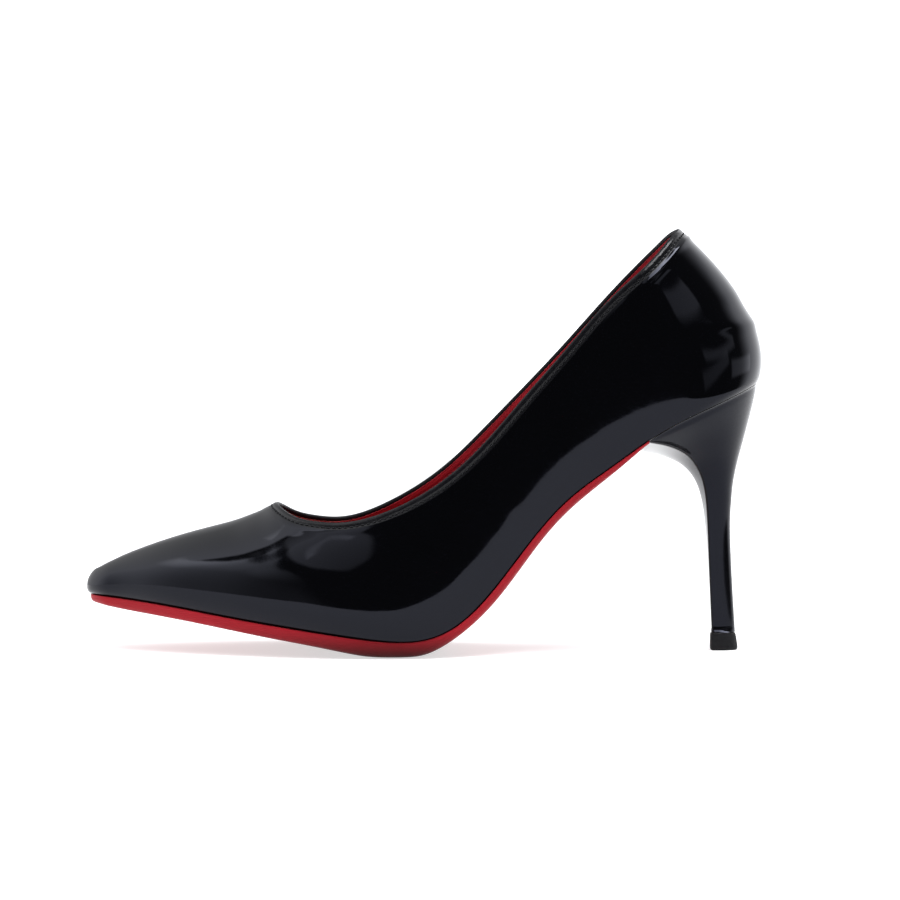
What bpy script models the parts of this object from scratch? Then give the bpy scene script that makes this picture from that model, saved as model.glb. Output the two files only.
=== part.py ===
"""A left court shoe with a pointed toe and a slim high heel, standing on its sole.

+Z is up, the toe points along -X and the outer (lateral) side of the foot faces -Y.
Lengths are in millimetres until make_object turns points into metres. "along" is the distance
from the toe towards the heel, measured level, and a side is -1 for lateral or +1 for medial.
"""

import math
from collections import namedtuple

import bmesh
import bpy
import numpy as np

MM = 0.001
LATERAL, MEDIAL = -1, 1

# Driving sizes
LENGTH = 228.4  # of the last on its middle line; the toe and the counter swell a little past its ends
TOE_FEATHER = 0.5  # where the upper meets the sole at the toe
BACK_FEATHER = 227.7  # and at the back of the heel seat
THROAT = 72.3  # feather line station below the front of the collar
BREAST = 190.1  # front of the heel seat, where the outsole ends
BREAST_HOLLOW = 2.6  # how much shorter the outsole is on its middle line, for the rounded breast
WALL = 1.6  # patent face, backing and lining together
GAP = 0.3  # between pieces that meet
SOLE_MARGIN = 0.6  # how far the outsole stands out past the feather line
INSOLE_THICK = 2.0
INSOLE_INSET = 2.3
TOE_NOSE, HEEL_NOSE = 6.0, 24.5  # lengths of the rounded ends
TIP_HEIGHT = 5.8
SWELL_POWER = 0.9  # under 1, the toe and the counter bulge most below half their height
QUARTER_TURN = 0.55  # how far round the arch a wall reaches beside the throat

# The last from above: half breadth at the widest line, and the middle line's shift to the medial side
Plan = namedtuple("Plan", "along breadth centre")
PLAN = (
    Plan(0, 6.5, 7.0),
    Plan(10, 12.6, 6.4),
    Plan(20, 19.0, 5.4),
    Plan(37, 26.8, 3.6),
    Plan(54, 32.6, 1.8),
    Plan(70, 36.2, 0.3),
    Plan(86, 38.0, -1.2),
    Plan(100, 37.7, -2.2),
    Plan(116, 34.8, -3.0),
    Plan(132, 30.8, -3.3),
    Plan(148, 27.7, -2.8),
    Plan(164, 26.0, -1.7),
    Plan(180, 25.8, -0.6),
    Plan(196, 26.5, 0.0),
    Plan(LENGTH, 26.5, 0.0),
)

# The feather line from the side, with the extra height of the medial arch
Feather = namedtuple("Feather", "along height arch")
FEATHER = (
    Feather(TOE_FEATHER, 18.8, 0.0),
    Feather(20, 17.3, 0.0),
    Feather(45, 13.8, 0.0),
    Feather(70, 10.1, 0.0),
    Feather(90, 7.3, 0.0),
    Feather(104, 5.9, 0.2),
    Feather(113, 6.2, 0.6),
    Feather(121, 8.6, 1.1),
    Feather(129, 13.9, 1.6),
    Feather(137, 22.2, 2.0),
    Feather(145, 32.4, 2.2),
    Feather(153, 42.6, 2.0),
    Feather(161, 51.4, 1.6),
    Feather(170, 58.8, 1.0),
    Feather(180, 65.9, 0.4),
    Feather(190, 73.0, 0.0),
    Feather(200, 78.9, 0.0),
    Feather(212, 84.6, 0.0),
    Feather(BACK_FEATHER, 91.5, 0.0),
)

# The top of the last from the side: lean is how far the top of a rib lies ahead of (-) or behind its
# foot, apex the height where the arch closes over the foot. Behind the throat the topline cuts it lower.
Crown = namedtuple("Crown", "along lean apex")
CROWN = (
    Crown(TOE_FEATHER, 2.4, 27.4),
    Crown(10, 0.9, 31.4),
    Crown(20, 0.3, 35.2),
    Crown(36, -0.9, 40.0),
    Crown(46, -2.0, 42.4),
    Crown(54, -3.4, 44.3),
    Crown(60, -4.9, 46.0),
    Crown(66, -6.7, 47.8),
    Crown(THROAT, -8.4, 50.2),
    Crown(78, -9.9, 51.6),
    Crown(84, -11.3, 52.7),
    Crown(90, -12.4, 54.0),
    Crown(98, -13.1, 56.4),
    Crown(106, -12.9, 61.1),
    Crown(117, -11.6, 73.8),
    Crown(131.6, -10.2, 96.0),
    Crown(143.5, -9.2, 114.0),
    Crown(155.4, -8.2, 128.5),
    Crown(169, -8.0, 140.5),
    Crown(183.6, -10.0, 149.0),
    Crown(198.6, -14.6, 154.5),
    Crown(212.2, -20.6, 157.0),
    Crown(221.7, -24.6, 158.5),
    Crown(BACK_FEATHER, -26.5, 159.0),
)

# The topline from the side, from the throat to the back, and how much higher it is on the medial side
Topline = namedtuple("Topline", "at height medial_lift")
TOPLINE = (
    Topline(63.9, 50.2, 0.0),
    Topline(70.1, 46.9, -0.8),
    Topline(76.5, 45.6, -1.4),
    Topline(86.8, 45.3, -1.8),
    Topline(95.3, 46.9, -1.3),
    Topline(106, 50.9, -0.4),
    Topline(121.9, 60.2, 1.0),
    Topline(135.3, 72.4, 1.7),
    Topline(148.6, 87.6, 0.3),
    Topline(162.6, 103.5, -0.6),
    Topline(176.1, 118.8, -0.7),
    Topline(187.4, 128.9, 1.1),
    Topline(194.8, 136.1, 1.5),
    Topline(198.9, 140.9, 0.8),
    Topline(201.2, 143.2, 0.0),
)

# The wall between them: rise of the widest line above the feather line, how far the wall tucks in below
# it, fullness of the arch above it, how far the toe (-) and the counter bulge near half their height, and
# how blunt that bulge is, where 1 is a parabola and less is squarer
Wall = namedtuple("Wall", "along rise tuck fullness bulge blunt")
WALLS = (
    Wall(TOE_FEATHER, 2.5, 1.6, 0.80, -2.3, 0.6),
    Wall(8, 4.2, 1.9, 0.74, -0.5, 0.8),
    Wall(20, 5.7, 2.2, 0.66, 0.0, 1.0),
    Wall(40, 7.0, 2.3, 0.62, 0.0, 1.0),
    Wall(68, 7.8, 2.4, 0.60, 0.0, 1.0),
    Wall(94, 8.9, 2.4, 0.62, 0.0, 1.0),
    Wall(116, 13.4, 2.3, 0.66, 0.0, 1.0),
    Wall(145, 17.0, 2.0, 0.70, 0.0, 1.0),
    Wall(170, 15.0, 1.8, 0.72, 0.0, 1.0),
    Wall(190, 10.8, 1.7, 0.74, 0.3, 1.0),
    Wall(204, 6.9, 1.6, 0.74, 2.0, 1.0),
    Wall(216, 3.6, 1.5, 0.74, 5.4, 1.0),
    Wall(BACK_FEATHER, 2.5, 1.4, 0.74, 9.0, 1.0),
)

# The outsole's underside on its middle line. It is cut off at the floor, which leaves the flat it stands on.
Underside = namedtuple("Underside", "along height camber")
UNDERSIDE = (
    Underside(0, 16.1, 0.0),
    Underside(10, 14.1, 0.0),
    Underside(20, 12.8, 0.0),
    Underside(45, 9.1, 0.0),
    Underside(60, 6.5, 0.0),
    Underside(75, 4.0, 0.0),
    Underside(86, 1.9, 0.0),
    Underside(97, -0.2, 0.0),
    Underside(104, -0.9, 0.0),
    Underside(111, -0.2, 0.0),
    Underside(116, 1.1, 0.2),
    Underside(122, 4.0, 0.5),
    Underside(129, 8.8, 0.8),
    Underside(137, 16.2, 1.0),
    Underside(145, 26.1, 1.0),
    Underside(153, 36.9, 1.0),
    Underside(161, 46.2, 0.9),
    Underside(170, 54.3, 0.8),
    Underside(180, 62.5, 0.6),
    Underside(190, 71.4, 0.4),
)

# The outsole's edge below its upright rim, round to the flat: inset from the outline, share of the thickness
Edge = namedtuple("Edge", "inset share")
SOLE_EDGE = (
    Edge(0.0, 0.25),
    Edge(0.2, 0.48),
    Edge(0.8, 0.70),
    Edge(2.0, 0.89),
    Edge(4.2, 1.0),
)

# The heel from the seat down. Each level runs from the corner of the breast to the back, and the
# middle of the breast stands ahead of its corners.
Level = namedtuple("Level", "corner corner_z back back_z middle middle_z half_width")
HEEL = (
    Level(BREAST, 72.7, 227.4, 91.0, 187.6, 70.9, 24.5),
    Level(190.6, 72.2, 227.2, 89.0, 187.9, 67.4, 23.6),
    Level(194.5, 71.4, 226.4, 85.0, 192.2, 66.4, 20.8),
    Level(199.2, 69.8, 224.7, 78.2, 196.8, 65.2, 16.8),
    Level(203.3, 67.4, 222.5, 70.0, 200.8, 63.4, 12.9),
    Level(206.0, 64.4, 220.7, 63.2, 203.9, 60.9, 9.8),
    Level(208.2, 60.4, 219.4, 56.4, 206.3, 57.6, 7.6),
    Level(209.8, 54.6, 218.9, 51.0, 208.1, 52.9, 6.1),
    Level(210.5, 46.8, 218.5, 44.9, 209.4, 46.2, 5.1),
    Level(210.9, 36.8, 218.6, 36.0, 210.3, 36.5, 4.5),
    Level(211.4, 23.2, 219.2, 22.8, 211.1, 23.0, 4.2),
    Level(212.2, TIP_HEIGHT + GAP, 220.2, TIP_HEIGHT + GAP, 211.9, TIP_HEIGHT + GAP, 4.1),
)
HEEL_TIP = (
    Level(211.9, TIP_HEIGHT, 220.4, TIP_HEIGHT, 211.6, TIP_HEIGHT, 4.4),
    Level(211.8, 0.9, 221.1, 0.9, 211.5, 0.9, 4.7),
    Level(212.2, 0.0, 220.7, 0.0, 211.9, 0.0, 4.3),
)
HEEL_ROUND = 0.33  # share of each level's length where its sides start to close to the back
BREAST_WIDTH = 0.97  # share of each level's width at the corners of the breast


class Curve:
    """A natural cubic spline through one column of a table whose rows are keyed by their first column."""

    def __init__(self, rows, column):
        self.x = np.array([row[0] for row in rows], float)
        self.y = np.array([getattr(row, column) for row in rows], float)
        steps = np.diff(self.x)
        count = len(rows)
        matrix = np.eye(count)
        right = np.zeros(count)
        for i in range(1, count - 1):
            slope_before = (self.y[i] - self.y[i - 1]) / steps[i - 1]
            slope_after = (self.y[i + 1] - self.y[i]) / steps[i]
            matrix[i, i - 1 : i + 2] = steps[i - 1], 2 * (steps[i - 1] + steps[i]), steps[i]
            right[i] = 6 * (slope_after - slope_before)
        self.bend = np.linalg.solve(matrix, right)

    def __call__(self, x):
        x = min(max(x, self.x[0]), self.x[-1])
        i = min(max(int(np.searchsorted(self.x, x)) - 1, 0), len(self.x) - 2)
        step = self.x[i + 1] - self.x[i]
        after = (x - self.x[i]) / step
        before = 1 - after
        bent = (before**3 - before) * self.bend[i] + (after**3 - after) * self.bend[i + 1]
        return before * self.y[i] + after * self.y[i + 1] + bent * step**2 / 6


breadth, centre = Curve(PLAN, "breadth"), Curve(PLAN, "centre")
feather_height, arch = Curve(FEATHER, "height"), Curve(FEATHER, "arch")
lean, apex = Curve(CROWN, "lean"), Curve(CROWN, "apex")
topline, medial_lift = Curve(TOPLINE, "height"), Curve(TOPLINE, "medial_lift")
rise, tuck, fullness = Curve(WALLS, "rise"), Curve(WALLS, "tuck"), Curve(WALLS, "fullness")
bulge, blunt = Curve(WALLS, "bulge"), Curve(WALLS, "blunt")
underside, camber = Curve(UNDERSIDE, "height"), Curve(UNDERSIDE, "camber")


def rounded(distance, length):
    """Share of the full breadth at this distance from a rounded end, which is elliptic over the length."""
    share = min(max(distance / length, 0), 1)
    return math.sqrt(1 - (1 - share) ** 2)


def ends(along):
    """Closes the outline at the toe and at the back of the heel."""
    return rounded(along - TOE_FEATHER, TOE_NOSE) * rounded(BACK_FEATHER - along, HEEL_NOSE)


def feather_z(along, side):
    return feather_height(along) + arch(along) * (side + 1) / 2


def steep(along):
    """Height to give a layer at this station so that it has unit thickness square to the sloping sole."""
    return math.hypot(1, (feather_height(along + 0.5) - feather_height(along - 0.5)))


def arch_turn(height, weight):
    """How far round the arch, from 0 at the widest line to 1 at the apex, this share of its height is."""
    if height >= 1:
        return 1.0
    spare = 1 - height
    ratio = height / (weight * spare + math.sqrt((weight * spare) ** 2 + height * spare))
    return ratio / (1 + ratio)


def arch_point(turn, weight):
    """Shares of the breadth and of the height on a conic arch that starts upright and ends level."""
    start, middle, end = (1 - turn) ** 2, 2 * weight * turn * (1 - turn), turn**2
    whole = start + middle + end
    return (start + middle) / whole, (middle + end) / whole


def rib(along, side, below, above):
    """Points up one side of the upper, from the feather line over the widest line to the top."""
    closing = ends(along)
    wide, middle = breadth(along) * closing, centre(along)
    foot_z, top_x, top_z = feather_z(along, side), along + lean(along), apex(along)
    if along > THROAT:
        top_z = min(top_z, topline(top_x) + medial_lift(top_x) * (side + 1) / 2)
    height = top_z - foot_z
    wide_share = rise(along) / math.hypot(top_x - along, height)
    spots = []
    for i in range(below):
        t = i / below
        spots.append((wide - tuck(along) * closing * (1 - t) ** 2, wide_share * t))
    weight = fullness(along)
    cut = height * (1 - wide_share) / (apex(along) - foot_z - height * wide_share)
    last_turn = arch_turn(cut, weight)
    steady_turn = min(last_turn, QUARTER_TURN)
    for i in range(above + 1):
        t = i / above
        out, up = arch_point(steady_turn * t + (last_turn - steady_turn) * t**3, weight)
        spots.append((wide * out, wide_share + (1 - wide_share) * up / cut))
    points = []
    for out, share in spots:
        swell = max(0, share) ** SWELL_POWER
        hump = max(0, 4 * swell * (1 - swell)) ** blunt(along)
        x = along + (top_x - along) * share + bulge(along) * hump
        points.append((x, middle + side * out, foot_z + height * share))
    return points


def outline(along, side, inset):
    """A point of the feather line from above, moved square to it towards the inside."""

    def across(x):
        return centre(x) + side * (breadth(x) - tuck(x)) * ends(x)

    if ends(along) == 0:
        return along + (inset if along < LENGTH / 2 else -inset), centre(along)
    low, high = max(along - 0.02, TOE_FEATHER), min(along + 0.02, BACK_FEATHER)
    slope = (across(high) - across(low)) / (high - low)
    length = math.hypot(1, slope)
    return along + inset * side * slope / length, across(along) - inset * side / length


def spread(start, end, count, power=1.0):
    """Stations from start to end, closer together at the start where power is over 1."""
    return [start + (end - start) * (i / count) ** power for i in range(count + 1)]


def stations(back):
    """Rows along the shoe up to this station, close together at the toe, the throat and the heel."""
    rows = spread(TOE_FEATHER, 10, 5, 2)
    rows += spread(10, THROAT, 10)[1:]
    rows += spread(THROAT, 96, 6, 1.25)[1:]
    rows += spread(96, 203, 18)[1:]
    rows += spread(BACK_FEATHER, 203, 9, 2)[-2::-1]
    return [row for row in rows if row < back - 1] + [back]


def make_object(name, points, faces, colour, roughness):
    """One closed piece with its own material, moved from the toe tip to the middle of the shoe."""
    middle_y = (max(out_to(MEDIAL)) - max(out_to(LATERAL))) / 2
    mesh = bpy.data.meshes.new(name)
    shifted = [((x - LENGTH / 2) * MM, (y - middle_y) * MM, z * MM) for x, y, z in points]
    mesh.from_pydata(shifted, [], faces)
    tidy = bmesh.new()
    tidy.from_mesh(mesh)
    bmesh.ops.remove_doubles(tidy, verts=tidy.verts, dist=0.002 * MM)
    bmesh.ops.recalc_face_normals(tidy, faces=tidy.faces)
    tidy.to_mesh(mesh)
    tidy.free()
    material = bpy.data.materials.new(name)
    material.use_nodes = True
    shader = material.node_tree.nodes["Principled BSDF"]
    shader.inputs["Base Color"].default_value = (*colour, 1)
    shader.inputs["Roughness"].default_value = roughness
    mesh.materials.append(material)
    piece = bpy.data.objects.new(name, mesh)
    bpy.context.scene.collection.objects.link(piece)
    return piece


def out_to(side):
    """How far the upper's widest line stands out on this side at each station."""
    return [side * centre(row) + breadth(row) * ends(row) for row in stations(BACK_FEATHER)]


def loft(loops, paired, capped):
    """Points and faces of a skin through closed loops of equal length, with a ladder of faces on capped ones.

    The rungs join a loop's points from its first and its last inwards. Where the loops aren't paired,
    the first point lies on the middle line and has no partner.
    """
    count = len(loops[0])
    points = [point for loop in loops for point in loop]
    faces = []
    for row in range(len(loops) - 1):
        for i in range(count):
            j = (i + 1) % count
            faces.append((row * count + i, row * count + j, (row + 1) * count + j, (row + 1) * count + i))
    for end in capped:
        start = (end % len(loops)) * count
        for i in range(count // 2):
            rung = [start + k % count for k in (i, i + 1, -i - 1 - paired, -i - paired)]
            faces.append(tuple(dict.fromkeys(rung)))
    return points, [face for face in faces if len(face) > 2]


def make_upper():
    """The hollow shell: one skin from ribs up both sides, thickened inwards."""
    below, above = 3, 12
    rows = stations(BACK_FEATHER)
    points, faces = [], []
    for side in (LATERAL, MEDIAL):
        first = len(points)
        for row in rows:
            points += rib(row, side, below, above)
        width = below + above + 1
        for i in range(len(rows) - 1):
            for j in range(width - 1):
                corner = first + i * width + j
                onward, upward = (width, 1) if side == LATERAL else (1, width)
                faces.append((corner, corner + onward, corner + width + 1, corner + upward))
    upper = make_object("upper", points, faces, (0.006, 0.006, 0.008), 0.05)
    wall = upper.modifiers.new("wall", "SOLIDIFY")
    wall.thickness = WALL * MM
    wall.offset = -1
    wall.use_even_offset = True
    return upper


def sole_row(row):
    """Spots across the sole at one station: x, y, share of the thickness, and side from -1 to +1."""
    across = 4
    half = (breadth(row) - tuck(row)) * ends(row)
    soften = min(1, 0.3 + half / 14)
    margin = SOLE_MARGIN * min(1, half / 8)
    rims = {}
    for side in (LATERAL, MEDIAL):
        rims[side] = []
        for edge in SOLE_EDGE:
            x, y = outline(row, side, edge.inset * soften - margin)
            rims[side].append((x, y, edge.share, side))
    start, end = np.array(rims[LATERAL][-1]), np.array(rims[MEDIAL][-1])
    flat = [tuple(start + (end - start) * i / across) for i in range(1, across)]
    return rims[LATERAL] + flat + rims[MEDIAL][::-1]


def make_outsole():
    """Loops round the sole, each along the underside from rim to rim and back along the top."""
    loops = []
    for row in stations(BREAST - GAP):
        half = max(1, (breadth(row) - tuck(row)) * ends(row))
        retreat = BREAST_HOLLOW * max(0, (row - 170) / (BREAST - 170)) ** 2
        top, bottom = [], []
        for x, y, share, side in sole_row(row):
            off_middle = min(1, abs(y - centre(row)) / half) ** 2
            x -= retreat * (1 - off_middle)
            high = feather_z(x, side) - GAP * steep(x)
            low = max(0, underside(x) + arch(x) * (side + 1) / 2 + camber(x) * off_middle)
            top.append((x, y, high))
            bottom.append((x, y, high + (low - high) * share))
        loops.append(bottom + top[::-1])
    return make_object("outsole", *loft(loops, paired=1, capped=[-1]), (0.42, 0.02, 0.035), 0.45)


def make_insole():
    """A board inside the upper, lying on the outsole and the heel seat."""
    across = 4
    loops = []
    for row in stations(BACK_FEATHER):
        ends_here = [outline(row, side, INSOLE_INSET) for side in (LATERAL, MEDIAL)]
        loop = []
        for layer in (0, 1):
            for i in range(across + 1):
                t = i / across if layer == 0 else 1 - i / across
                x = ends_here[0][0] + (ends_here[1][0] - ends_here[0][0]) * t
                y = ends_here[0][1] + (ends_here[1][1] - ends_here[0][1]) * t
                loop.append((x, y, feather_z(x, 2 * t - 1) + INSOLE_THICK * layer * steep(x)))
        loops.append(loop)
    return make_object("insole", *loft(loops, paired=1, capped=[]), (0.30, 0.02, 0.03), 0.7)


def level_loop(level, seat):
    """One outline of the heel: from the middle of the breast along a side, round the back and home again."""
    breast, flank = 4, 9
    half = []
    for i in range(breast):
        t = i / breast
        x = level.middle + (level.corner - level.middle) * t**2
        z = level.middle_z + (level.corner_z - level.middle_z) * t**2
        half.append((x, level.half_width * BREAST_WIDTH * t, z))
    for i in range(flank + 1):
        t = math.sin(math.pi / 2 * i / flank)
        closing = max(0, t - HEEL_ROUND) / (1 - HEEL_ROUND)
        fill = BREAST_WIDTH + (1 - BREAST_WIDTH) * min(1, t / HEEL_ROUND)
        x = level.corner + (level.back - level.corner) * t
        z = level.corner_z + (level.back_z - level.corner_z) * t
        half.append((x, level.half_width * fill * math.sqrt(1 - closing**2), z))
    if seat:
        half = [(x, y, feather_height(x) - GAP * steep(x)) for x, y, z in half]
    return [(x, -y, z) for x, y, z in half] + [(x, y, z) for x, y, z in half[-2:0:-1]]


def finer_levels(levels, between):
    """The table's levels with more worked out between them, smooth from top to bottom."""
    keyed = [namedtuple("Keyed", ("key", *Level._fields))(i, *level) for i, level in enumerate(levels)]
    curves = [Curve(keyed, column) for column in Level._fields]
    keys = [i / between for i in range(between * (len(levels) - 2) + 1)]
    return [levels[0]] + [Level(*(curve(1 + key) for curve in curves)) for key in keys]


def make_heel():
    loops = [level_loop(level, seat=i == 0) for i, level in enumerate(finer_levels(HEEL, 2))]
    return make_object("heel", *loft(loops, paired=0, capped=[0, -1]), (0.008, 0.008, 0.010), 0.08)


def make_heel_tip():
    loops = [level_loop(level, seat=False) for level in HEEL_TIP]
    return make_object("heel_tip", *loft(loops, paired=0, capped=[0, -1]), (0.015, 0.015, 0.016), 0.6)


for old in list(bpy.data.objects):
    bpy.data.objects.remove(old)
make_upper()
make_outsole()
make_insole()
make_heel()
make_heel_tip()
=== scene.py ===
"""Looks for a left court shoe with a pointed toe and a slim high heel.

The shoe's sizes are in millimetres, with "along" measured level from the toe to the heel, until
add_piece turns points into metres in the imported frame. A side is -1 for lateral or +1 for medial. The
studio is in metres.
"""

import math
from collections import namedtuple

import bpy
import numpy as np
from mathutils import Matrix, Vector


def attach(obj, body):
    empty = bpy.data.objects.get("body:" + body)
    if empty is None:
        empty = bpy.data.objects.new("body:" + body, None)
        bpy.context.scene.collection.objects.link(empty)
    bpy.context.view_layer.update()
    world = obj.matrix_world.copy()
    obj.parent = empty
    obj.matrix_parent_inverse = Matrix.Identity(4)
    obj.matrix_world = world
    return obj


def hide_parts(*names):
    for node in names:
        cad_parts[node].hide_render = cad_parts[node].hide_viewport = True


MM = 0.001
LATERAL, MEDIAL = -1, 1


def table(columns, *rows):
    """Rows whose columns have these names."""
    Row = namedtuple("Row", columns)
    return [Row(*row) for row in rows]


# Sizes of the solids
LENGTH = 228.4  # of the last on its middle line; the toe and the counter swell a little past its ends
TOE_FEATHER = 0.5  # where the upper meets the sole at the toe
BACK_FEATHER = 227.7  # and at the back of the heel seat
THROAT = 72.3  # feather line station below the front of the collar
BREAST = 190.1  # front of the heel seat, where the outsole ends
BREAST_HOLLOW = 2.6  # how much shorter the outsole is on its middle line, for the rounded breast
GAP = 0.3  # between pieces that meet
SOLE_MARGIN = 0.6  # how far the outsole stands out past the feather line
SOCK_THICK = 2.0
SOCK_INSET = 1.1
TOE_NOSE, HEEL_NOSE = 6.0, 24.5  # lengths of the rounded ends
TIP_HEIGHT = 5.8
SWELL_POWER = 0.9  # under 1, the toe and the counter bulge most below half their height
MIDDLE_Y = -1.53  # the middle of the shoe's width, measured across from the last's own axis

# The last from above: half breadth at the widest line, and the middle line's shift to the medial side
PLAN = table(
    "along breadth centre",
    (0, 6.5, 7.0),
    (10, 12.6, 6.4),
    (20, 19.0, 5.4),
    (37, 26.8, 3.6),
    (54, 32.6, 1.8),
    (70, 36.2, 0.3),
    (86, 38.0, -1.2),
    (100, 37.7, -2.2),
    (116, 34.8, -3.0),
    (132, 30.8, -3.3),
    (148, 27.7, -2.8),
    (164, 26.0, -1.7),
    (180, 25.8, -0.6),
    (196, 26.5, 0.0),
    (LENGTH, 26.5, 0.0),
)

# The feather line from the side, with the extra height of the medial arch
FEATHER = table(
    "along height arch",
    (TOE_FEATHER, 18.8, 0.0),
    (20, 17.3, 0.0),
    (45, 13.8, 0.0),
    (70, 10.1, 0.0),
    (90, 7.3, 0.0),
    (104, 5.9, 0.2),
    (113, 6.2, 0.6),
    (121, 8.6, 1.1),
    (129, 13.9, 1.6),
    (137, 22.2, 2.0),
    (145, 32.4, 2.2),
    (153, 42.6, 2.0),
    (161, 51.4, 1.6),
    (170, 58.8, 1.0),
    (180, 65.9, 0.4),
    (190, 73.0, 0.0),
    (200, 78.9, 0.0),
    (212, 84.6, 0.0),
    (BACK_FEATHER, 91.5, 0.0),
)

# The top of the last from the side: lean is how far the top of a rib lies ahead of (-) or behind its
# foot, apex the height where the arch closes over the foot. Behind the throat the topline cuts it lower.
CROWN = table(
    "along lean apex",
    (TOE_FEATHER, 2.4, 27.4),
    (10, 0.9, 31.4),
    (20, 0.3, 35.2),
    (36, -0.9, 40.0),
    (46, -2.0, 42.4),
    (54, -3.4, 44.3),
    (60, -4.9, 46.0),
    (66, -6.7, 47.8),
    (THROAT, -8.4, 50.2),
    (78, -9.9, 51.6),
    (84, -11.3, 52.7),
    (90, -12.4, 54.0),
    (98, -13.1, 56.4),
    (106, -12.9, 61.1),
    (117, -11.6, 73.8),
    (131.6, -10.2, 96.0),
    (143.5, -9.2, 114.0),
    (155.4, -8.2, 128.5),
    (169, -8.0, 140.5),
    (183.6, -10.0, 149.0),
    (198.6, -14.6, 154.5),
    (212.2, -20.6, 157.0),
    (221.7, -24.6, 158.5),
    (BACK_FEATHER, -26.5, 159.0),
)

# The topline from the side, from the throat to the back, and how much higher it is on the medial side
TOPLINE = table(
    "at height medial_lift",
    (63.9, 50.2, 0.0),
    (70.1, 46.9, -0.8),
    (76.5, 45.6, -1.4),
    (86.8, 45.3, -1.8),
    (95.3, 46.9, -1.3),
    (106, 50.9, -0.4),
    (121.9, 60.2, 1.0),
    (135.3, 72.4, 1.7),
    (148.6, 87.6, 0.3),
    (162.6, 103.5, -0.6),
    (176.1, 119.0, -0.9),
    (187.4, 129.5, 0.5),
    (194.8, 136.8, 0.8),
    (198.9, 141.3, 0.4),
    (201.2, 143.2, 0.0),
)

# The wall between them: rise of the widest line above the feather line, how far the wall tucks in below
# it, fullness of the arch above it, how far the toe (-) and the counter bulge near half their height, and
# how blunt that bulge is, where 1 is a parabola and less is squarer
WALLS = table(
    "along rise tuck fullness bulge blunt",
    (TOE_FEATHER, 2.5, 1.6, 0.80, -2.3, 0.6),
    (8, 4.2, 1.9, 0.74, -0.5, 0.8),
    (20, 5.7, 2.2, 0.66, 0.0, 1.0),
    (40, 7.0, 2.3, 0.62, 0.0, 1.0),
    (68, 7.8, 2.4, 0.60, 0.0, 1.0),
    (94, 8.9, 2.4, 0.62, 0.0, 1.0),
    (116, 13.4, 2.3, 0.66, 0.0, 1.0),
    (145, 17.0, 2.0, 0.70, 0.0, 1.0),
    (170, 15.0, 1.8, 0.72, 0.0, 1.0),
    (190, 10.8, 1.7, 0.74, 0.3, 1.0),
    (204, 6.9, 1.6, 0.74, 2.0, 1.0),
    (216, 3.6, 1.5, 0.74, 5.4, 1.0),
    (BACK_FEATHER, 2.5, 1.4, 0.74, 9.0, 1.0),
)

# The outsole's underside on its middle line. It is cut off at the floor, which leaves the flat it stands on.
UNDERSIDE = table(
    "along height camber",
    (0, 16.1, 0.0),
    (10, 14.1, 0.0),
    (20, 12.8, 0.0),
    (45, 9.1, 0.0),
    (60, 6.5, 0.0),
    (75, 4.0, 0.0),
    (86, 1.9, 0.0),
    (97, -0.2, 0.0),
    (104, -0.9, 0.0),
    (111, -0.2, 0.0),
    (116, 1.1, 0.2),
    (122, 4.0, 0.5),
    (129, 8.8, 0.8),
    (137, 16.2, 1.0),
    (145, 26.1, 1.0),
    (153, 36.9, 1.0),
    (161, 46.2, 0.9),
    (170, 54.3, 0.8),
    (180, 62.5, 0.6),
    (190, 71.4, 0.4),
)

# The outsole's edge round to the flat underneath: share of the thickness, inset from the outline
SOLE_EDGE = table(
    "share inset",
    (0.0, 0.15),
    (0.04, 0.0),
    (0.25, 0.0),
    (0.48, 0.2),
    (0.60, 0.45),
    (0.70, 0.8),
    (0.80, 1.3),
    (0.88, 2.1),
    (0.93, 3.4),
    (0.97, 6.0),
    (1.0, 10.5),
)

# The heel from the seat down. Each level runs from the corner of the breast to the back, and the
# middle of the breast stands ahead of its corners.
Level = namedtuple("Level", "corner corner_z back back_z middle middle_z half_width")
BREAST_AHEAD = 0.3  # how far the middle of the breast stands ahead of its corners on a level cut


def flat_level(height, corner, back, half_width):
    return Level(corner, height, back, height, corner - BREAST_AHEAD, height, half_width)


HEEL = (
    Level(BREAST, 72.7, 227.4, 91.0, 187.6, 70.9, 24.5),
    Level(190.6, 72.2, 227.2, 89.0, 187.9, 67.4, 23.6),
    Level(194.5, 71.4, 226.4, 85.0, 192.2, 66.4, 20.8),
    Level(199.2, 69.8, 224.7, 78.2, 196.8, 65.2, 16.8),
    Level(203.3, 67.4, 222.5, 70.0, 200.8, 63.4, 12.9),
    Level(206.0, 64.4, 220.7, 63.2, 203.9, 60.9, 9.8),
    Level(208.2, 60.4, 219.4, 56.4, 206.3, 57.6, 7.6),
    Level(209.8, 54.6, 218.9, 51.0, 208.1, 52.9, 6.1),
    Level(210.5, 46.8, 218.5, 44.9, 209.4, 46.2, 5.1),
    Level(210.9, 36.8, 218.6, 36.0, 210.3, 36.5, 4.5),
    Level(211.4, 23.2, 219.2, 22.8, 211.1, 23.0, 4.2),
    flat_level(TIP_HEIGHT + GAP, 212.2, 220.2, 4.1),
)
HEEL_TIP = (
    flat_level(TIP_HEIGHT, 212.1, 220.1, 4.2),
    flat_level(TIP_HEIGHT - 0.3, 211.9, 220.4, 4.4),
    flat_level(3.0, 211.85, 220.8, 4.55),
    flat_level(0.9, 211.8, 221.1, 4.7),
    flat_level(0.3, 211.9, 221.0, 4.6),
    flat_level(0.0, 212.2, 220.7, 4.3),
)
CORNER_BEVEL = 0.45  # at the edges of the breast
CORNER_NEXT = 2.2  # bevels from such an edge to the points beyond it
BREAST_SHARES = (0, 0.2, 0.4, 0.6, 0.8)  # of the way from its middle to its edges, where its points lie
BREAST_CURVE = 1.2  # above 1, the breast is rounded across
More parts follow.
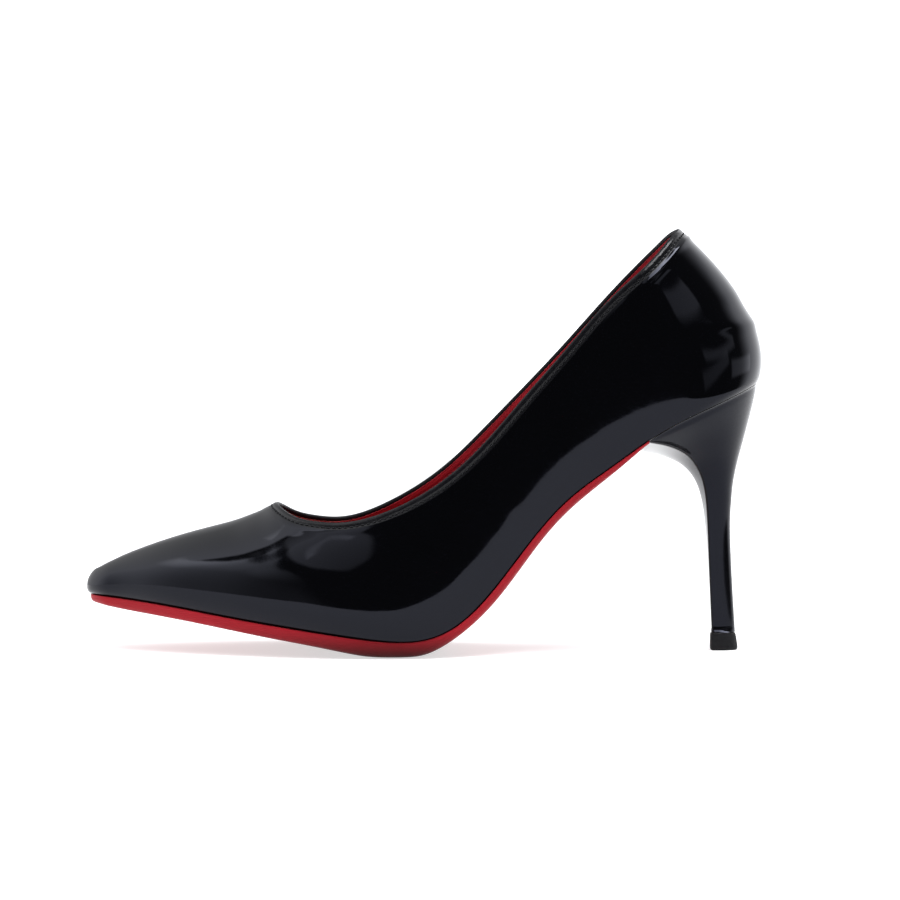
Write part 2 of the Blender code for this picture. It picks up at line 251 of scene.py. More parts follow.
BREAST_WIDTH = 0.97  # share of each level's width at the corners of the breast
CORNER_COLUMN = len(BREAST_SHARES) + 1  # of the heel's faces, counted from the middle of the breast
HEEL_ROUND = 0.33  # share of each level's length where its sides start to close to the back
HEEL_SIDE_POINTS = 22
HEEL_FINER = 4  # steps made from each one of the table

# The collar's make-up, measured from the outer face inwards and from the edge down
SKIN_THICK = 0.9  # patent face with its backing
FOLD_RADIUS = 0.8  # the patent turns over the edge
FOLD_TURNS = (20, 45, 70, 90, 110, 135, 160)  # degrees round it
FOLD_DEPTH = 1.0  # and ends this far down the inside
FOLD_END = 1.15  # how far in its cut end meets the skin
LINING_TOP = 0.75  # where the lining's raw edge lies, over the end of the fold
LINING_THICK = 0.55
LINING_FACE = 1.65  # how far the lining's visible face lies inside the outer face
COLLAR_DEPTH = 2.6  # of the pressed, duller band along the edge
STITCH_DOWN = 1.8  # stitch row's distance from the edge
INNER_DOWN = STITCH_DOWN + 0.35  # and that of the row on the lining
STITCH_LIFT, INNER_LIFT = 0.02, 0.2  # how far the rows lie off the patent and off the lining
STITCH_PITCH, STITCH_LENGTH, STITCH_RADIUS = 2.0, 1.4, 0.2
STITCH_FLAT = 1.15  # how many times wider than high a stitch is
STITCH_RISE, STITCH_SINK = 0.16, 0.22  # how far its middle stands proud, and how much lower its ends are
STITCH_END = 0.12  # share of its section left at the ends
STITCH_RINGS, STITCH_SIDES = 7, 8

# The skin's lower edge, round from the inside to the outside: share of the skin's thickness, and drop
Hem = namedtuple("Hem", "share drop")
HEM = (Hem(0.6, 0.26), Hem(0.25, 0.22), Hem(0.06, 0.1))

# Soft ridges (+) and grooves (-), each across the value that it is measured by
Ridge = namedtuple("Ridge", "height middle width")
# by distance down from the edge
BEAD = Ridge(0.14, 0.75, 0.6)  # the rolled edge
GROOVE = Ridge(-0.24, STITCH_DOWN, 0.42)  # where the stitches pull the patent in
PUCKER = Ridge(0.03, STITCH_DOWN, 0.7)  # up and down from stitch to stitch
PUFF = Ridge(0.05, 4.0, 1.2)  # the patent swells below the stitches
BACK_PUFF = Ridge(0.37, 4.0, 1.2)  # and more so towards the back
LINING_STEP = Ridge(0.42, LINING_TOP, 0.9)  # the lining lies over the end of the fold
LINING_FURROW = Ridge(-0.16, INNER_DOWN, 0.4)
# by height
STIFFENER = (Ridge(0.45, 111.5, 2.2), Ridge(-0.3, 118.0, 3.2))  # its upper edge on the counter
# by distance from the middle
SEAM = Ridge(-0.22, 0.0, 0.5)  # down the back

# Ranges over which such things come in: stations, or distances from an edge of the face
PUFF_RANGE = (162, 186)
SEAM_RANGE = (198, 202)
COUNTER_RANGE = (206, 222)
BELOW_COLLAR = (4, 9)
ABOVE_FEATHER = (0, 6)
OFF_MIDDLE = (0, 4)

# How finely the skin is divided
SPOKES = 230  # on each side, from the middle of the vamp round to the back
COLLAR_STEPS = (
    *(0, 0.3, 0.6, 0.9, 1.2, 1.5, 1.75, 2.0, 2.25, 2.5, 2.75, 3.0),
    *(3.25, 3.5, 3.75, 4.0, 4.25, 4.5, 4.8, 5.2, 5.8, 6.7, 7.7, 8.8),
)
WALL_STEPS = 56  # between the collar and the feather line
WALL_EASING = 1.3  # above 1, they close up towards the feather line
INSIDE_STRIDE = 3  # of these divisions to each one on the inside of the skin
LINING_CLOSE = 9  # divisions of the lining below its edge that are as close as the skin's
WALK_STEP, WALK_STEPS = 0.4, 260  # how the lines over the face are found
WALK_BEND = 12.0  # length over which such a line turns from square to the edge towards its foot
LINE_POINTS = 400  # on the ridge, and on the lines at the toe and at the back, before they are divided
STATION_SAMPLES = 3001  # for even spacing
STATION_NUDGE, LEVEL_NUDGE = 0.01, 0.002  # small steps that give slopes on the face
TINY = 1e-9  # keeps divisions clear of nought
EASE_ROUNDS = 12  # of smoothing below the throat
EASE_PULLS = (0.5, -0.53)  # in each round, which keep the size
EASE_STARTS, EASE_ENDS = (54, 62), (80, 90)  # ranges of stations

# How finely the sole and the sock are divided, and how the sole's edge dies away
SOLE_ROWS, SOLE_ACROSS = 120, 8
SOCK_ROWS, SOCK_ACROSS = 110, 14
ROWS_CLOSE, ROWS_FORWARD = 0.35, 1.15  # how much rows close up at both ends, and how much more at the toe
EDGE_AT_TOE, EDGE_GROWTH = 0.3, 14.0  # share of the insets at the toe, half width that adds all of them
MARGIN_GROWTH = 8.0  # half width where the margin is full
HOLLOW_FROM = 170.0  # station where the outsole starts to be shorter on its middle line
FLOOR_BLEND, FLOOR_SINK = 0.8, 0.15  # how softly the underside runs into its flat
SOCK_RIM, SOCK_RIM_POWER = 0.35, 6  # share of its thickness that the sock loses at the rim, and how late


class Curve:
    """A natural cubic spline through one column of a table whose rows are keyed by their first column."""

    def __init__(self, rows, column):
        self.x = np.array([row[0] for row in rows], float)
        self.y = np.array([getattr(row, column) for row in rows], float)
        steps = np.diff(self.x)
        count = len(rows)
        matrix = np.eye(count)
        right = np.zeros(count)
        for i in range(1, count - 1):
            slope_before = (self.y[i] - self.y[i - 1]) / steps[i - 1]
            slope_after = (self.y[i + 1] - self.y[i]) / steps[i]
            matrix[i, i - 1 : i + 2] = steps[i - 1], 2 * (steps[i - 1] + steps[i]), steps[i]
            right[i] = 6 * (slope_after - slope_before)
        self.bend = np.linalg.solve(matrix, right)

    def __call__(self, x):
        x = np.clip(x, self.x[0], self.x[-1])
        i = np.clip(np.searchsorted(self.x, x) - 1, 0, len(self.x) - 2)
        step = self.x[i + 1] - self.x[i]
        after = (x - self.x[i]) / step
        before = 1 - after
        bent = (before**3 - before) * self.bend[i] + (after**3 - after) * self.bend[i + 1]
        return before * self.y[i] + after * self.y[i + 1] + bent * step**2 / 6


def curves(rows):
    """A curve through each column of a table after its first."""
    return [Curve(rows, column) for column in rows[0]._fields[1:]]


breadth, centre = curves(PLAN)
feather_height, arch = curves(FEATHER)
lean, apex = curves(CROWN)
topline, medial_lift = curves(TOPLINE)
rise, tuck, fullness, bulge, blunt = curves(WALLS)
underside, camber = curves(UNDERSIDE)


def rounded(distance, length):
    """Share of the full breadth at this distance from a rounded end, which is elliptic over the length."""
    return np.sqrt(1 - (1 - np.clip(distance / length, 0, 1)) ** 2)


def ends(along):
    """Closes the outline at the toe and at the back of the heel."""
    return rounded(along - TOE_FEATHER, TOE_NOSE) * rounded(BACK_FEATHER - along, HEEL_NOSE)


def feather_z(along, side):
    return feather_height(along) + arch(along) * (side + 1) / 2


def steep(along):
    """Height to give a layer at this station so that it has unit thickness square to the sloping sole."""
    return np.hypot(1, feather_height(along + 0.5) - feather_height(along - 0.5))


def arch_turn(height, weight):
    """How far round the arch, from 0 at the widest line to 1 at the apex, this share of its height is."""
    height = np.minimum(height, 1)
    spare = 1 - height
    ratio = weight * spare + np.sqrt((weight * spare) ** 2 + height * spare)
    return height / (height + ratio)


def arch_point(turn, weight):
    """Shares of the breadth and of the height on a conic arch that starts upright and ends level."""
    start, middle, end = (1 - turn) ** 2, 2 * weight * turn * (1 - turn), turn**2
    whole = start + middle + end
    return (start + middle) / whole, (middle + end) / whole


Wall_sizes = namedtuple("Wall_sizes", "foot_z height wide_share cut")


def wall_sizes(along, side):
    """Foot and height of the wall at a station, the widest line's share of the height, and how much of the
    arch above that line is left below the topline."""
    foot_z, full_z, top_x = feather_z(along, side), apex(along), along + lean(along)
    cut_z = topline(top_x) + medial_lift(top_x) * (side + 1) / 2
    height = np.where(along > THROAT, np.minimum(full_z, cut_z), full_z) - foot_z
    wide_share = rise(along) / np.hypot(lean(along), height)
    cut = height * (1 - wide_share) / (full_z - foot_z - height * wide_share)
    return Wall_sizes(foot_z, height, wide_share, np.minimum(cut, 1))


def top_level(along, side):
    """Level where the wall ends: the ridge in front of the throat, the topline behind it."""
    return 1 + arch_turn(wall_sizes(along, side).cut, fullness(along))


def face(along, side, level):
    """Points of the last's outer face. Level 0 is the feather line, 1 the widest line and 2 the ridge."""
    along, level = np.broadcast_arrays(np.asarray(along, float), np.asarray(level, float))
    closing = ends(along)
    wide = breadth(along) * closing
    wall = wall_sizes(along, side)
    out, up = arch_point(np.clip(level - 1, 0, 1), fullness(along))
    tucked = wide - tuck(along) * closing * (1 - np.clip(level, 0, 1)) ** 2
    out = np.where(level < 1, tucked, wide * out)
    upper_share = wall.wide_share + (1 - wall.wide_share) * up / wall.cut
    share = np.where(level < 1, wall.wide_share * level, upper_share)
    swell = np.maximum(0, share) ** SWELL_POWER
    hump = np.maximum(0, 4 * swell * (1 - swell)) ** blunt(along)
    x = along + lean(along) * share + bulge(along) * hump
    return np.stack([x, centre(along) + side * out, wall.foot_z + wall.height * share], axis=-1)


def outline(along, side, inset):
    """Points of the feather line from above, moved square to it towards the inside."""

    def across(x):
        return centre(x) + side * (breadth(x) - tuck(x)) * ends(x)

    low = np.maximum(along - 2 * STATION_NUDGE, TOE_FEATHER)
    high = np.minimum(along + 2 * STATION_NUDGE, BACK_FEATHER)
    slope = (across(high) - across(low)) / (high - low)
    length = np.hypot(1, slope)
    x, y = along + inset * side * slope / length, across(along) - inset * side / length
    at_end = ends(along) == 0
    end_x = along + np.where(along < LENGTH / 2, inset, -inset)
    return np.where(at_end, end_x, x), np.where(at_end, centre(along), y)


def run_length(points):
    """Distance along a line of points from its first one."""
    return np.concatenate([[0], np.cumsum(np.linalg.norm(np.diff(points, axis=0), axis=1))])


def resample(points, length, wanted):
    """Points at the wanted distances along a line."""
    return np.stack([np.interp(wanted, length, points[:, axis]) for axis in range(3)], axis=-1)


def smooth_step(low, high, value):
    t = np.clip((value - low) / (high - low), 0, 1)
    return t * t * (3 - 2 * t)


def bell(value, middle, width):
    return np.exp(-(((value - middle) / width) ** 2))


def relief(ridge, value):
    """How far a ridge stands out at this value of what it is measured by."""
    return ridge.height * bell(value, ridge.middle, ridge.width)


def unit(vectors):
    return vectors / np.maximum(np.linalg.norm(vectors, axis=-1, keepdims=True), TINY)


def dot(first, second):
    return np.sum(first * second, axis=-1)


def even_stations(start, side, level_at):
    """Stations from start to the back, evenly spaced along the outer face at a level."""
    turns = np.linspace(0, math.pi, STATION_SAMPLES)
    along = start + (BACK_FEATHER - start) * (1 - np.cos(turns)) / 2
    length = run_length(face(along, side, level_at(along)))
    return np.interp(np.linspace(0, length[-1], SPOKES + 1), length, along)


def tangents(along, side, level):
    """How a point of the face moves with its station and with its level."""
    ahead = np.minimum(along + STATION_NUDGE, BACK_FEATHER)
    behind = np.maximum(along - STATION_NUDGE, TOE_FEATHER)
    higher, lower = np.minimum(level + LEVEL_NUDGE, 2), np.maximum(level - LEVEL_NUDGE, 0)
    by_along = (face(ahead, side, level) - face(behind, side, level)) / (ahead - behind)[..., None]
    by_level = (face(along, side, higher) - face(along, side, lower)) / (higher - lower)[..., None]
    return by_along, by_level


def walk(tops, feet, side):
    """Stations and levels along lines on the face that leave the topline squarely and end at their feet."""
    along, level = tops.copy(), top_level(tops, side)
    foot_points = face(feet, side, 0)
    beside = tops + STATION_NUDGE
    edge = face(beside, side, top_level(beside, side)) - face(tops, side, level)
    by_along, by_level = tangents(along, side, level)
    start = unit(np.cross(np.cross(by_along, by_level), edge))
    start *= np.sign(dot(start, foot_points - face(tops, side, level)))[:, None]
    trail = [(along, level)]
    for step in range(WALK_STEPS):
        to_foot = foot_points - face(along, side, level)
        straight_on = math.exp(-step * WALK_STEP / WALK_BEND)
        heading = unit(to_foot) * (1 - straight_on) + start * straight_on
        by_along, by_level = tangents(along, side, level)
        along_square, level_square = dot(by_along, by_along), dot(by_level, by_level)
        mixed = dot(by_along, by_level)
        want_along, want_level = dot(heading, by_along), dot(heading, by_level)
        apart = np.maximum(along_square * level_square - mixed**2, TINY)
        d_along = (want_along * level_square - want_level * mixed) / apart
        d_level = (want_level * along_square - want_along * mixed) / apart
        moved = np.linalg.norm(by_along * d_along[:, None] + by_level * d_level[:, None], axis=1)
        scale = np.minimum(WALK_STEP, np.linalg.norm(to_foot, axis=1)) / np.maximum(moved, TINY)
        along = np.clip(along + d_along * scale, TOE_FEATHER, BACK_FEATHER)
        level = np.clip(level + d_level * scale, 0, 2)
        trail.append((along, level))
    trail.append((feet, np.zeros_like(feet)))
    return np.array(trail)


def side_spokes(side):
    """Lines on the outer face from the topline down to the feather line, fanning out over the toe."""
    tops = even_stations(THROAT, side, lambda along: top_level(along, side))
    feet = even_stations(TOE_FEATHER, side, np.zeros_like)
    trail = walk(tops[1:-1], feet[1:-1], side)
    falling = np.linspace(2, 0, LINE_POINTS)
    ridge = THROAT + (TOE_FEATHER - THROAT) * np.sin(np.linspace(0, math.pi / 2, LINE_POINTS))
    at_toe, at_back = np.full(LINE_POINTS, TOE_FEATHER), np.full(LINE_POINTS, BACK_FEATHER)
    front = np.concatenate([[ridge, np.full(LINE_POINTS, 2.0)], [at_toe, falling]], axis=1).T
    back = np.stack([at_back, falling / 2 * top_level(at_back, side)], axis=1)
    shares = 1 - (1 - np.arange(1, WALL_STEPS + 1) / WALL_STEPS) ** WALL_EASING
    collar_end = COLLAR_STEPS[-1]
    spokes = []
    for line in (front, *np.moveaxis(trail, 2, 0), back):
        length = run_length(face(line[:, 0], side, line[:, 1]))
        wanted = np.concatenate([COLLAR_STEPS, collar_end + (length[-1] - collar_end) * shares])
        along, level = np.interp(wanted, length, line[:, 0]), np.interp(wanted, length, line[:, 1])
        spokes.append(face(along, side, level))
    return spokes


def normals_of(grid):
    """Outward normals of a grid that closes on itself from its last spoke to its first."""
    round_it = np.roll(grid, -1, axis=0) - np.roll(grid, 1, axis=0)
    down = np.gradient(grid, axis=1)
    return unit(np.cross(down, round_it))


# Soft troughs (+) and ridges (-) pressed into the face, each along a line seen from the side
CREASES = table(
    "side from_x from_z to_x to_z depth width",
    (LATERAL, 60, 28, 70, 15, 0.02, 4.0),
    (LATERAL, 82, 24, 88, 12, 0.025, 4.0),
    (LATERAL, 98, 30, 104, 16, -0.025, 4.5),
    (LATERAL, 116, 40, 128, 24, 0.04, 5.0),
    (LATERAL, 134, 62, 146, 52, -0.04, 5.0),
    (LATERAL, 176, 86, 196, 92, 0.03, 4.0),
    (LATERAL, 188, 108, 200, 112, 0.03, 3.5),
    (MEDIAL, 66, 28, 76, 14, 0.06, 3.5),
    (MEDIAL, 82, 32, 92, 14, 0.07, 4.0),
    (MEDIAL, 120, 46, 136, 34, 0.08, 5.0),
    (MEDIAL, 150, 76, 162, 62, -0.06, 4.5),
    (MEDIAL, 186, 98, 204, 104, 0.06, 4.0),
)


def crease_depth(x, z, crease):
    """How deep a point of the face lies in one crease, which dies away past both its ends."""
    run_x, run_z = crease.to_x - crease.from_x, crease.to_z - crease.from_z
    length = math.hypot(run_x, run_z)
    along = ((x - crease.from_x) * run_x + (z - crease.from_z) * run_z) / length
    aside = ((x - crease.from_x) * run_z - (z - crease.from_z) * run_x) / length
    past_end = np.maximum(0, np.abs(along - length / 2) - length / 2)
    return crease.depth * bell(aside, 0, crease.width) * bell(past_end, 0, 2 * crease.width)


def surface_detail(grid, down, around):
    """How far the patent stands off the last's smooth face: collar, seam, stiffener edge and creases."""
    x, y, z = grid[..., 0], grid[..., 1], grid[..., 2]
    pucker = relief(PUCKER, down) * np.sin(around * 2 * math.pi / STITCH_PITCH)
    puff = relief(PUFF, down) + relief(BACK_PUFF, down) * smooth_step(*PUFF_RANGE, x)
    ledge = sum(relief(ridge, z) for ridge in STIFFENER) * smooth_step(*COUNTER_RANGE, x)
    seam = relief(SEAM, y) * smooth_step(*SEAM_RANGE, x)
    total = relief(BEAD, down) + relief(GROOVE, down) + pucker + puff + ledge + seam
    for crease in CREASES:
        on_side = smooth_step(*OFF_MIDDLE, crease.side * (y - centre(x)))
        total = total - crease_depth(x, z, crease) * on_side * smooth_step(*BELOW_COLLAR, down)
    return total


def add_piece(name, points, faces, materials, replaced=None, subdivisions=1):
    """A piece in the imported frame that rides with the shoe, with its faces pointing outwards."""
    mesh = bpy.data.meshes.new(name)
    moved = (np.reshape(points, (-1, 3)) - (LENGTH / 2, MIDDLE_Y, 0)) * MM
    mesh.from_pydata(moved.tolist(), [], [list(map(int, corners)) for corners in faces])
    mesh.validate()
    for made in materials:
        mesh.materials.append(made)
    piece = bpy.data.objects.new(name, mesh)
    bpy.context.scene.collection.objects.link(piece)
    mesh.polygons.foreach_set("use_smooth", [True] * len(mesh.polygons))
    if subdivisions:
        smooth = piece.modifiers.new("smooth", "SUBSURF")
        smooth.levels = smooth.render_levels = subdivisions
    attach(piece, "root")
    if replaced:
        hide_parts(replaced)
    return piece


def ring_faces(rings, size, closed=False, flip=False):
    """Quads between rings of points, where the last ring may join the first."""
    faces = []
    for i in range(rings if closed else rings - 1):
        here, there = i * size, (i + 1) % rings * size
        for j in range(size):
            after = (j + 1) % size
            quad = (here + j, here + after, there + after, there + j)
            faces.append((quad[0], *quad[:0:-1]) if flip else quad)
    return faces


def eased(grid, share):
    """The face with its kinks evened out where share is above 0, by pulls in and out that keep its size."""
    for pull in EASE_PULLS * EASE_ROUNDS:
        padded = np.pad(grid, ((0, 0), (1, 1), (0, 0)), mode="edge")
        beside = np.roll(grid, 1, axis=0) + np.roll(grid, -1, axis=0) + padded[:, :-2] + padded[:, 2:]
        grid = grid + pull * share[..., None] * (beside / 4 - grid)
    return grid


def skin_grid():
    """The outer face with its detail: points, normals and distance down from the topline, spoke by spoke."""
    lateral, medial = side_spokes(LATERAL), side_spokes(MEDIAL)
    grid = np.array(lateral + medial[-2:1:-1])  # the first medial line would lie on the ridge
    down = np.array([run_length(spoke) for spoke in grid])
    around = run_length(grid[:, 0])[:, None]
    x = grid[..., 0]
    below_throat = smooth_step(*EASE_STARTS, x) * (1 - smooth_step(*EASE_ENDS, x))
    clear_of_edges = smooth_step(*BELOW_COLLAR, down) * smooth_step(*ABOVE_FEATHER, down[:, -1:] - down)
    grid = eased(grid, below_throat * clear_of_edges)
    grid = grid + normals_of(grid) * surface_detail(grid, down, around)[..., None]
    return grid, normals_of(grid), down


def make_upper(grid, normal):
    """One closed skin: up the outer face, over the folded edge, and back down inside."""
    along_edge = np.roll(grid[:, 0], -1, axis=0) - np.roll(grid[:, 0], 1, axis=0)
    edge_normal = normal[:, 0]
    edge_up = unit(np.cross(along_edge, edge_normal))
    edge_up *= np.sign(dot(edge_up, grid[:, 0] - grid[:, 1]))[:, None]
    outer = grid.shape[1]
    sections = [grid[:, j] for j in reversed(range(outer))]
    middle = grid[:, 0] - edge_normal * FOLD_RADIUS
    for turn in np.radians(FOLD_TURNS):
        sections.append(middle + FOLD_RADIUS * (edge_normal * math.cos(turn) + edge_up * math.sin(turn)))
    folded = [j for j, depth in enumerate(COLLAR_STEPS) if depth <= FOLD_DEPTH]
    last = folded[-1]
    insets = [(j, 2 * FOLD_RADIUS) for j in folded] + [(last, FOLD_END)]
    insets += [(j, SKIN_THICK) for j in (*range(last + 2, outer - 1, INSIDE_STRIDE), outer - 1)]
    sections += [grid[:, j] - normal[:, j] * inset for j, inset in insets]
    for hem in HEM:
        sections.append(grid[:, -1] - normal[:, -1] * SKIN_THICK * hem.share - (0, 0, hem.drop))
    points = np.stack(sections, axis=1)
    columns = points.shape[1]
    faces = ring_faces(len(points), columns, closed=True)
    materials = [patent, fold_black, collar_black]
    piece = add_piece("patent_upper", points, faces, materials, "upper", 0)
    collar = outer - 1 - sum(depth < COLLAR_DEPTH for depth in COLLAR_STEPS)
    for i, polygon in enumerate(piece.data.polygons):
        if i % columns >= outer:
            polygon.material_index = materials.index(fold_black)
        elif i % columns >= collar:
            polygon.material_index = materials.index(collar_black)


def make_lining(grid, normal, down):
    """The red lining inside the skin, with its pale raw edge just below the folded topline."""
    start = next(j for j, depth in enumerate(COLLAR_STEPS) if depth >= LINING_TOP)
    last = grid.shape[1] - 1
    close = range(start, start + LINING_CLOSE)
    front, back = [], []
    for j in (*close, *range(start + LINING_CLOSE + 1, last, 2), last):
        depth = down[:, j : j + 1]
        inset = LINING_FACE + relief(LINING_STEP, depth) + relief(LINING_FURROW, depth)
        front.append(grid[:, j] - normal[:, j] * inset)
        back.append(grid[:, j] - normal[:, j] * (inset - LINING_THICK))
    points = np.stack(front + back[::-1], axis=1)
    columns = points.shape[1]
    faces = ring_faces(len(points), columns, closed=True)
    materials = [lining_red, raw_edge]
    piece = add_piece("lining", points, faces, materials, subdivisions=0)
    for i, polygon in enumerate(piece.data.polygons):
        if i % columns == columns - 1:
            polygon.material_index = materials.index(raw_edge)


def stitch_row(name, path, outward, made):
    """A row of short stitches along a closed path, each sunk at both ends, as one mesh."""
    path, outward = np.concatenate([path, path[:1]]), np.concatenate([outward, outward[:1]])
    length = run_length(path)
    count = int(length[-1] / STITCH_PITCH)
    quads = ring_faces(STITCH_RINGS, STITCH_SIDES)
    points, faces = [], []
    for i in range(count):
        spots = (i + 0.5) * length[-1] / count + np.linspace(-0.5, 0.5, STITCH_RINGS) * STITCH_LENGTH
        spots = spots % length[-1]
        line, out = resample(path, length, spots), unit(resample(outward, length, spots))
        sideways = STITCH_FLAT * np.cross(unit(np.gradient(line, axis=0)), out)
        first = len(points)
        for k, t in enumerate(np.linspace(-1, 1, STITCH_RINGS)):
            radius = STITCH_RADIUS * math.sqrt(max(STITCH_END, 1 - t**4))
            middle = line[k] + out[k] * (STITCH_RISE - STITCH_SINK * t**2)
            for turn in np.arange(STITCH_SIDES) * 2 * math.pi / STITCH_SIDES:
                points.append(middle + radius * (sideways[k] * math.cos(turn) + out[k] * math.sin(turn)))
        end = len(points) - STITCH_SIDES
        faces += [tuple(first + corner for corner in quad) for quad in quads]
        faces.append(tuple(first + k for k in reversed(range(STITCH_SIDES))))
        faces.append(tuple(end + k for k in range(STITCH_SIDES)))
    add_piece(name, points, faces, [made], subdivisions=0)


def path_at(grid, normal, down, depth, offset):
    """The closed line on the skin at this distance below the topline, and the normals along it."""
    line = np.array([resample(spoke, length, [depth])[0] for spoke, length in zip(grid, down)])
    out = unit(np.array([resample(spoke, length, [depth])[0] for spoke, length in zip(normal, down)]))
    return line + out * offset, out


def close_rows(back, rows):
    """Stations up to this one, close together at the rounded ends."""
    even = np.linspace(0, 1, rows)
    shares = ROWS_CLOSE * (1 - np.cos(math.pi * even)) / 2 + (1 - ROWS_CLOSE) * even
    return TOE_FEATHER + (back - TOE_FEATHER) * shares**ROWS_FORWARD


def make_outsole():
    """Loops round the sole, each along the underside from rim to rim and back along the top."""
    loops = []
    for row in close_rows(BREAST + GAP, SOLE_ROWS):
        half = float((breadth(row) - tuck(row)) * ends(row))
        soften = min(1, EDGE_AT_TOE + half / EDGE_GROWTH)
        margin = SOLE_MARGIN * min(1, half / MARGIN_GROWTH)
        retreat = BREAST_HOLLOW * max(0, (row - HOLLOW_FROM) / (BREAST - HOLLOW_FROM)) ** 2
        rims = {}
        for side in (LATERAL, MEDIAL):
            rims[side] = []
            for edge in SOLE_EDGE:
                x, y = outline(row, side, edge.inset * soften - margin)
                rims[side].append((float(x), float(y), edge.share, side))
        start, end = np.array(rims[LATERAL][-1]), np.array(rims[MEDIAL][-1])
        flat = [tuple(start + (end - start) * i / SOLE_ACROSS) for i in range(1, SOLE_ACROSS)]
        top, bottom = [], []
        for x, y, share, side in rims[LATERAL] + flat + rims[MEDIAL][::-1]:
            off_middle = min(1, abs(y - float(centre(row))) / max(1, half)) ** 2
            x -= retreat * (1 - off_middle)
            high = feather_z(x, side) - GAP * steep(x)
            low = underside(x) + arch(x) * (side + 1) / 2 + camber(x) * off_middle
            low = max(0, (low + math.hypot(low, FLOOR_BLEND)) / 2 - FLOOR_SINK)
            top.append((x, y, high))
            bottom.append((x, y, high + (low - high) * share))
        loops.append(bottom + top[1:-1][::-1])
    size = len(loops[0])
    wide = 2 * len(SOLE_EDGE) + SOLE_ACROSS - 1  # points from rim to rim
    faces = ring_faces(len(loops), size, flip=True)
    start = (len(loops) - 1) * size
    for i in range(1, wide - 2):
        faces.append((start + i, start + i + 1, start + size - i - 1, start + size - i))
    faces.append((start, start + 1, start + size - 1))
    faces.append((start + wide - 2, start + wide - 1, start + wide))
    add_piece("red_outsole", loops, faces, [sole_red], "outsole")


def make_sock():
    """The lined insole, soft at its rim, lying on the outsole and the heel seat."""
    points = []
    for row in close_rows(BACK_FEATHER, SOCK_ROWS):
        from_x, from_y = outline(row, LATERAL, SOCK_INSET)
        to_x, to_y = outline(row, MEDIAL, SOCK_INSET)
        for on_top in (False, True):
            for i in range(SOCK_ACROSS + 1):
                t = 1 - i / SOCK_ACROSS if on_top else i / SOCK_ACROSS
                x, y = from_x + (to_x - from_x) * t, from_y + (to_y - from_y) * t
                soft = 1 - SOCK_RIM * abs(2 * t - 1) ** SOCK_RIM_POWER
                thick = SOCK_THICK * soft if on_top else -GAP
                points.append((x, y, feather_z(x, 2 * t - 1) + thick * steep(x)))
    faces = ring_faces(SOCK_ROWS, 2 * (SOCK_ACROSS + 1), flip=True)
    add_piece("sock", points, faces, [lining_red], "insole")


def level_loop(level, seat):
    """One outline of the heel: from the middle of the breast along a side, round the back and home again."""
    half = []
    bevel = CORNER_BEVEL / level.half_width
    for t in (*BREAST_SHARES, 1 - CORNER_NEXT * bevel, 1 - bevel):
        x = level.middle + (level.corner - level.middle) * t**BREAST_CURVE
        z = level.middle_z + (level.corner_z - level.middle_z) * t**BREAST_CURVE
        half.append((x, level.half_width * BREAST_WIDTH * t, z))
    bevel = CORNER_BEVEL / (level.back - level.corner)
    to_back = [math.sin(math.pi / 2 * i / HEEL_SIDE_POINTS) for i in range(2, HEEL_SIDE_POINTS + 1)]
    for t in (bevel, CORNER_NEXT * bevel, *to_back):
        closing = max(0, t - HEEL_ROUND) / (1 - HEEL_ROUND)
        fill = BREAST_WIDTH + (1 - BREAST_WIDTH) * min(1, t / HEEL_ROUND)
        x = level.corner + (level.back - level.corner) * t
        z = level.corner_z + (level.back_z - level.corner_z) * t
        half.append((x, level.half_width * fill * math.sqrt(max(0, 1 - closing**2)), z))
    if seat:
        half = [(x, y, float(feather_height(x) - GAP * steep(x))) for x, y, z in half]
    return [(x, -y, z) for x, y, z in half] + half[-2:0:-1]


def finer_levels(levels, between):
    """The table's first level, and the rest with more worked out between them."""
    keyed = table(("key", *Level._fields), *((i, *level) for i, level in enumerate(levels)))
    by_key = curves(keyed)
    keys = [1 + i / between for i in range(between * (len(levels) - 2) + 1)]
    return [levels[0]] + [Level(*(float(curve(key)) for curve in by_key)) for key in keys]


def heel_faces(loops):
    """Faces round the loops, and a ladder across the first and the last."""
    size = len(loops[0])
    faces = ring_faces(len(loops), size)
    for start, flip in ((0, False), ((len(loops) - 1) * size, True)):
        for i in range(size // 2):
            rung = tuple(dict.fromkeys(start + k % size for k in (i, i + 1, -i - 1, -i)))
            if len(rung) > 2:
                faces.append(rung[::-1] if flip else rung)
    return faces


def make_heel():
    """The heel, with dull edges along a glossier breast."""
    loops = [level_loop(level, seat=i == 0) for i, level in enumerate(finer_levels(HEEL, HEEL_FINER))]
    materials = [heel_black, fold_black, breast_black]
    piece = add_piece("gloss_heel", loops, heel_faces(loops), materials, "heel")
    size = len(loops[0])
    for i in range(size * (len(loops) - 1)):
        column = min(i % size, size - 1 - i % size)
        if column == CORNER_COLUMN:
            piece.data.polygons[i].material_index = materials.index(fold_black)
        elif column < CORNER_COLUMN:
            piece.data.polygons[i].material_index = materials.index(breast_black)


def make_heel_tip():
    loops = [level_loop(level, seat=False) for level in HEEL_TIP]
    add_piece("rubber_tip", loops, heel_faces(loops), [tip_black], "heel_tip")


# A change of level from first to last between two places, with no more change beyond them
Fade = namedtuple("Fade", "start end first last")


